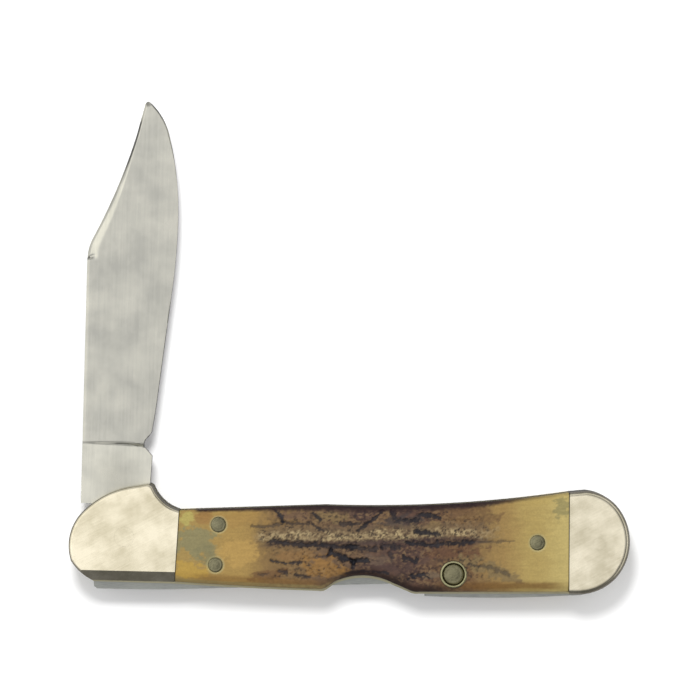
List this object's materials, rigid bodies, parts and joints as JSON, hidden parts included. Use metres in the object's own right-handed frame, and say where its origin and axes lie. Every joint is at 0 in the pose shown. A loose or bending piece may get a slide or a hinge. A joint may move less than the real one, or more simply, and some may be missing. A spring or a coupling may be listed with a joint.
{
  "type": "lockback folding knife",
  "caption": "Folding whittling knife with a clip-point blade, a mid-back lock bar, stag covers and metal bolsters, lying flat with its blade half open.",
  "frame": {"origin": "on the blade pivot's axis, in the plane of the lower bolsters' outer faces", "axes": "+X from the front bolster to the butt, +Y the way the half-open blade points, +Z the handle's thickness"},
  "size_m": [0.0922, 0.0819, 0.0104],
  "materials": {
    "blade_steel": "fine satin",
    "spring_steel": "satin",
    "liner_metal": "satin",
    "nickel_silver": "satin",
    "pin_metal": "tarnished satin",
    "stag": "polished antler with bark texture"
  },
  "bodies": {
    "handle": {"lock_spring": "spring_steel", "back_spacer": "spring_steel", "liner_upper": "liner_metal", "liner_lower": "liner_metal", "front_bolster_upper": "nickel_silver", "front_bolster_lower": "nickel_silver", "rear_bolster_upper": "nickel_silver", "rear_bolster_lower": "nickel_silver", "scale_upper": "stag", "scale_lower": "stag", "pivot_pin": "nickel_silver", "rear_bolster_pin": "nickel_silver", "rocker_pin": "pin_metal", "spring_pin": "pin_metal", "spring_pin_collar_upper": "pin_metal", "spring_pin_collar_lower": "pin_metal", "cover_pin_front_upper": "pin_metal", "cover_pin_front_lower": "pin_metal", "cover_pin_rear_upper": "pin_metal", "cover_pin_rear_lower": "pin_metal"},
    "blade": {"blade": "blade_steel"},
    "lock_bar": {"lock_bar": "spring_steel"}
  },
  "joints": [
    {"name": "blade_pivot", "type": "hinge", "parent": "handle", "child": "blade", "pos_m": [0, 0, 0.0052], "axis": [0, 0, 1], "range_deg": [-85.5, 89.5]},
    {"name": "lock_rocker", "type": "hinge", "parent": "handle", "child": "lock_bar", "pos_m": [0.015, -0.00462, 0.0052], "axis": [0, 0, 1], "range_deg": [-3.6, 1.4], "stiffness_Nm_per_rad": 0.05, "deforming": ["lock_spring"]}
  ]
}
